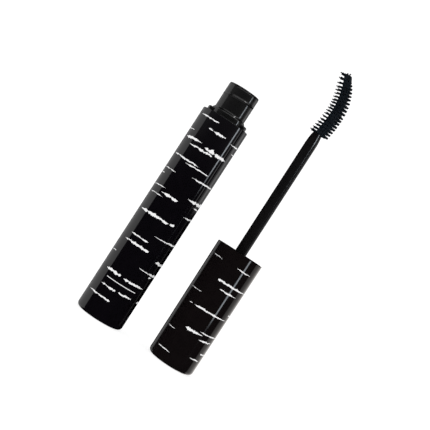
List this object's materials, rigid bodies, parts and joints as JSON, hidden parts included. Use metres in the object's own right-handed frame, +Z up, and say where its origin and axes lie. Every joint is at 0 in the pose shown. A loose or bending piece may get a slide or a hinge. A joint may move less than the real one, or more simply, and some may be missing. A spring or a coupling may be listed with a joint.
{
  "type": "mascara tube",
  "caption": "Slim round cosmetic tube with a threaded neck and wiper, and beside it its screw cap carrying a rod with a curved moulded brush.",
  "frame": {"origin": "centre of the tube's base, in the plane that the tube and the cap both stand on", "axes": "+Z up along the tube's axis, +X from the tube towards the cap and wand, -Y towards the viewer"},
  "size_m": [0.049, 0.0186, 0.1223],
  "materials": {
    "gloss_black": "polished black with printed white birch-bark flecks",
    "bottle_black": "polished black",
    "soft_black": "satin soft plastic",
    "mascara": "wet black paste",
    "label": "blank matt sticker",
    "liner_black": "satin moulded plastic",
    "seal_grey": "matt elastomer",
    "rod_black": "semi-gloss moulded plastic",
    "brush_black": "satin moulded elastomer"
  },
  "bodies": {
    "container": {"outer_tube": "gloss_black", "inner_bottle": "bottle_black", "wiper": "soft_black", "formula": "mascara", "base_label": "label"},
    "seal": {"seal_ring": "seal_grey"},
    "wand": {"cap_shell": "gloss_black", "inner_cap": "liner_black", "rod": "rod_black", "brush_head": "brush_black"}
  },
  "joints": [
    {"name": "wand_lift", "type": "slide", "parent": "container", "child": "seal", "axis": [0, 0, 1], "range_m": [0, 0.1]},
    {"name": "cap_turn", "type": "hinge", "parent": "seal", "child": "wand", "pos_m": [0.0304, 0, 0], "axis": [0, 0, -1], "range_deg": [0, 540]}
  ]
}
